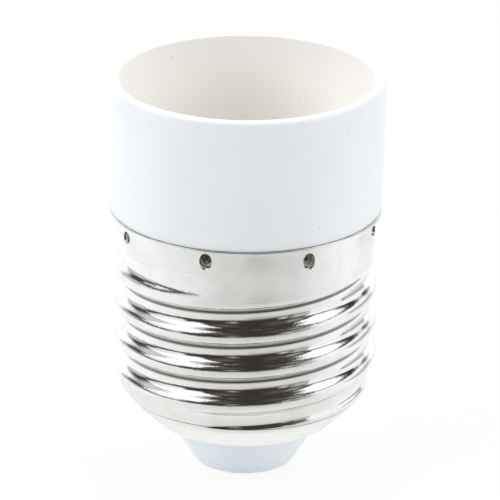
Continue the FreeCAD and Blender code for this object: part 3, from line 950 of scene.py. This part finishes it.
# %% Floor as the metal and the camera see it
PAINTED_SHARE = 0.9
UNDER_NOSE = (0.009, 0.014)
NEAR_FOOT = (0.016, 0.034)
FAR_TABLE = (0.045, 0.13)
rays = tree.nodes.new("ShaderNodeLightPath")
where = object_coordinates(tree)
spot = tree.nodes.new("ShaderNodeSeparateXYZ")
tree.links.new(where, spot.inputs["Vector"])
toward = azimuth(tree, spot.outputs["X"], spot.outputs["Y"])
toward = spread(tree, toward, -math.pi, math.pi, 0.0, 1.0)
from_foot, _ = cylinder_coordinates(tree, where)
table_shade = colour_ramp(tree, toward, [
    (0.0, (1.12, 1.12, 1.12)),
    (0.12, (1.08, 1.08, 1.08)),
    (0.25, (1.02, 1.03, 1.04)),
    (0.36, (0.87, 0.88, 0.88)),
    (0.45, (0.68, 0.68, 0.67)),
    (0.55, (0.66, 0.66, 0.65)),
    (0.64, (0.79, 0.79, 0.79)),
    (0.75, (1.03, 1.04, 1.05)),
    (0.92, (1.04, 1.04, 1.04)),
    (1.0, (1.12, 1.12, 1.12)),
])
foot_shade = colour_ramp(tree, toward, [
    (0.25, (0.93, 0.93, 0.92)),
    (0.34, (0.92, 0.92, 0.91)),
    (0.44, (0.81, 0.81, 0.80)),
    (0.6, (0.81, 0.81, 0.80)),
    (0.75, (0.9, 0.9, 0.89)),
])
# Painted shade far out on the table, darker in some directions.
far_shade = colour_ramp(tree, toward, [
    (0.0, (1.0, 1.0, 1.0)),
    (0.41, (1.0, 1.0, 1.0)),
    (0.44, (0.88, 0.88, 0.88)),
    (0.49, (0.9, 0.9, 0.9)),
    (0.52, (0.52, 0.51, 0.5)),
    (0.6, (0.66, 0.66, 0.66)),
    (0.67, (0.95, 0.95, 0.96)),
    (0.76, (0.95, 0.96, 0.97)),
    (0.81, (0.62, 0.62, 0.63)),
    (0.85, (0.62, 0.62, 0.63)),
    (0.9, (0.95, 0.95, 0.96)),
    (1.0, (1.0, 1.0, 1.0)),
])
grey = mix_colours(tree, below(tree, from_foot, *NEAR_FOOT), table_shade, foot_shade)
# Painted light: right under the nose the table is nearly white.
under_nose = plain_colour(tree, (0.98, 0.98, 0.975))
grey = mix_colours(tree, below(tree, from_foot, *UNDER_NOSE), grey, under_nose)
far = above(tree, from_foot, *FAR_TABLE)
grey = mix_colours(tree, far, grey, far_shade, blend="MULTIPLY")
mirrored = emission(tree, 1.0)
tree.links.new(grey, mirrored.inputs["Color"])
seen_white = emission(tree, 1.0)
camera_part = calculate(tree, "MULTIPLY", rays.outputs["Is Camera Ray"], PAINTED_SHARE)
glossy_part = calculate(tree, "MULTIPLY", rays.outputs["Is Glossy Ray"], PAINTED_SHARE)
lit = mix_shaders(tree, camera_part, shader.outputs["BSDF"], seen_white.outputs["Emission"])
lit = mix_shaders(tree, glossy_part, lit, mirrored.outputs["Emission"])
output = next(n for n in tree.nodes if n.type == "OUTPUT_MATERIAL")
tree.links.new(lit, output.inputs["Surface"])
dress(floor, floor_finish)

# %% [markdown]
# The world paints the studio by direction. The metal mirrors it, and the white parts get some of
# their light from it. The camera sees plain white in its place.

# %% World
world = bpy.data.worlds.new("studio")
bpy.context.scene.world = world
world.use_nodes = True
tree = world.node_tree
tree.nodes.clear()
output = tree.nodes.new("ShaderNodeOutputWorld")
surround = tree.nodes.new("ShaderNodeBackground")
plain = tree.nodes.new("ShaderNodeBackground")
plain.inputs["Color"].default_value = (1, 1, 1, 1)
rays = tree.nodes.new("ShaderNodeLightPath")
seen = mix_shaders(tree, rays.outputs["Is Camera Ray"], surround.outputs["Background"],
                   plain.outputs["Background"])
tree.links.new(seen, output.inputs["Surface"])
direction = tree.nodes.new("ShaderNodeTexCoord")
parts = tree.nodes.new("ShaderNodeSeparateXYZ")
tree.links.new(direction.outputs["Generated"], parts.inputs["Vector"])

# %% [markdown]
# Each softbox is a range of directions with soft edges: an azimuth from the camera's side,
# positive to the right, and an elevation. The table's far side fills all below the horizon.
# Between table and boxes the room stays dark, and so does the ceiling above the camera.

# %% Softboxes
sideways = azimuth(tree, parts.outputs["X"], parts.outputs["Y"])
upwards = calculate(tree, "ARCSINE", parts.outputs["Z"])


def edges(value, low, high, soft):
    """1 between two angles in degrees, with an edge of this softness on both sides."""
    rise = above(tree, value, math.radians(low - soft), math.radians(low + soft))
    fall = below(tree, value, math.radians(high - soft), math.radians(high + soft))
    return calculate(tree, "MULTIPLY", rise, fall)


def softbox(left, right, low, high, level, soft=3.0):
    """Brightness of one box over all directions."""
    across = edges(sideways, left, right, soft)
    shape = calculate(tree, "MULTIPLY", across, edges(upwards, low, high, soft))
    return calculate(tree, "MULTIPLY", shape, level)


boxes = [
    softbox(-110.0, -46.0, 29.0, 65.0, 1.22, 4.0),
    softbox(-142.0, -104.0, 32.0, 62.0, 0.68, 5.0),
    softbox(-92.0, -60.0, 14.0, 36.0, 0.95, 3.0),
    softbox(-106.0, -90.0, 19.0, 36.0, 0.95, 3.0),
    softbox(-92.0, -52.0, -6.0, 4.0, 0.85, 3.0),
    softbox(-106.0, -90.0, -6.0, 7.0, 0.8, 3.0),
    softbox(-150.0, -104.0, -6.0, 13.0, 0.62, 4.0),
    softbox(-57.0, -40.0, -6.0, 6.0, 0.45, 4.0),
    softbox(-150.0, -52.0, 2.0, 34.0, 0.05, 5.0),
    softbox(-200.0, -132.0, -6.0, 60.0, 1.15, 6.0),
    softbox(-40.0, -16.0, 36.0, 56.0, 0.12, 8.0),
    softbox(41.0, 60.0, 33.0, 54.0, 0.3, 4.0),
    softbox(20.0, 66.0, 33.0, 62.0, 0.08, 8.0),
    softbox(-36.0, 43.0, -6.0, 5.0, 0.26, 5.0),
    softbox(-17.0, -9.0, 12.0, 26.0, 0.4, 4.0),
    softbox(30.0, 39.0, 5.0, 19.0, 0.6, 3.0),
    softbox(42.0, 62.0, 1.0, 25.0, 0.5, 4.0),
    softbox(58.0, 134.0, 10.0, 33.0, 1.05, 2.5),
    softbox(58.0, 98.0, -6.0, 12.0, 1.05, 4.0),
    softbox(98.0, 134.0, -6.0, 12.0, 0.5, 4.0),
    softbox(70.0, 102.0, 38.0, 66.0, 1.15, 2.5),
    softbox(98.0, 122.0, 44.0, 66.0, 1.2, 3.0),
    softbox(132.0, 200.0, -6.0, 22.0, 1.15, 4.0),
    softbox(124.0, 200.0, 47.0, 75.0, 0.9, 4.0),
    softbox(152.0, 200.0, 15.0, 60.0, 1.15, 5.0),
]
bright = boxes[0]
for box in boxes[1:]:
    bright = calculate(tree, "MAXIMUM", bright, box)
table = below(tree, parts.outputs["Z"], -0.05, -0.02)
bright = calculate(tree, "MAXIMUM", bright, table)
studio = colour_ramp(tree, calculate(tree, "MULTIPLY", bright, 0.8), [
    (0.0, (0.046, 0.039, 0.037)),
    (0.08, (0.115, 0.096, 0.09)),
    (0.2, (0.25, 0.245, 0.24)),
    (0.8, (0.97, 0.98, 1.0)),
    (1.0, (1.21, 1.225, 1.25)),
])
tree.links.new(studio, surround.inputs["Color"])
surround.inputs["Strength"].default_value = 1.0

# %% [markdown]
# Three large lamps light the white moulding and throw the floor's soft shadow. The mirror doesn't
# show them, because the world already paints what it should show.

# %% Lamps
def soft_lamp(location, energy):
    """A large square lamp that points at the object and isn't mirrored in it."""
    deselect()
    bpy.ops.object.light_add(type="AREA", location=location)
    lamp = bpy.context.object
    lamp.data.size = 0.5
    lamp.data.energy = energy
    lamp.visible_glossy = False
    inward = Vector((0, 0, 0.02)) - lamp.location
    lamp.rotation_euler = inward.to_track_quat("-Z", "Y").to_euler()


soft_lamp((-0.55, -0.25, 0.4), 2.4)
soft_lamp((0.55, -0.25, 0.4), 1.9)
soft_lamp((0.0, 0.15, 0.7), 1.9)

# %% [markdown]
# The camera was far away with a long lens: the rim, the seam and the nose are ellipses whose
# shapes give its height above the horizon, and the thread's pitch gives its distance. It looks at
# the seam and is then turned a little, so that the seam's centre sits where it did. The focal
# length and that place are in pixels of a square picture.

# %% Camera
PIXELS = 500
SENSOR = 36.0
FOCAL = 4288.1
DISTANCE = 424.43799 * MM
ELEVATION = math.radians(20.976)
ROLL = math.radians(0.417)
SEAM_AT = (245.77, 202.38)
target = Vector((0, 0, SEAM * MM))
eye = target + Vector((0, -math.cos(ELEVATION), math.sin(ELEVATION))) * DISTANCE
ahead = (target - eye).normalized()
side = Vector((1, 0, 0))
up = side.cross(ahead)
side_rolled = side * math.cos(ROLL) + up * math.sin(ROLL)
up_rolled = up * math.cos(ROLL) - side * math.sin(ROLL)
across, down = (PIXELS / 2 - at for at in SEAM_AT)
aim = ahead * FOCAL + side_rolled * across - up_rolled * down
aim.normalize()
right = (side_rolled - aim * side_rolled.dot(aim)).normalized()
upward = right.cross(aim)
lens = bpy.data.cameras.new("camera")
camera = bpy.data.objects.new("camera", lens)
bpy.context.collection.objects.link(camera)
camera.matrix_world = Matrix((
    (right.x, upward.x, -aim.x, eye.x),
    (right.y, upward.y, -aim.y, eye.y),
    (right.z, upward.z, -aim.z, eye.z),
    (0, 0, 0, 1),
))
lens.sensor_width = SENSOR
lens.lens = FOCAL / PIXELS * SENSOR
lens.clip_start = 0.01
bpy.context.scene.camera = camera

# %% [markdown]
# Colours go to the screen as they are.

# %% View
bpy.context.scene.view_settings.view_transform = "Standard"
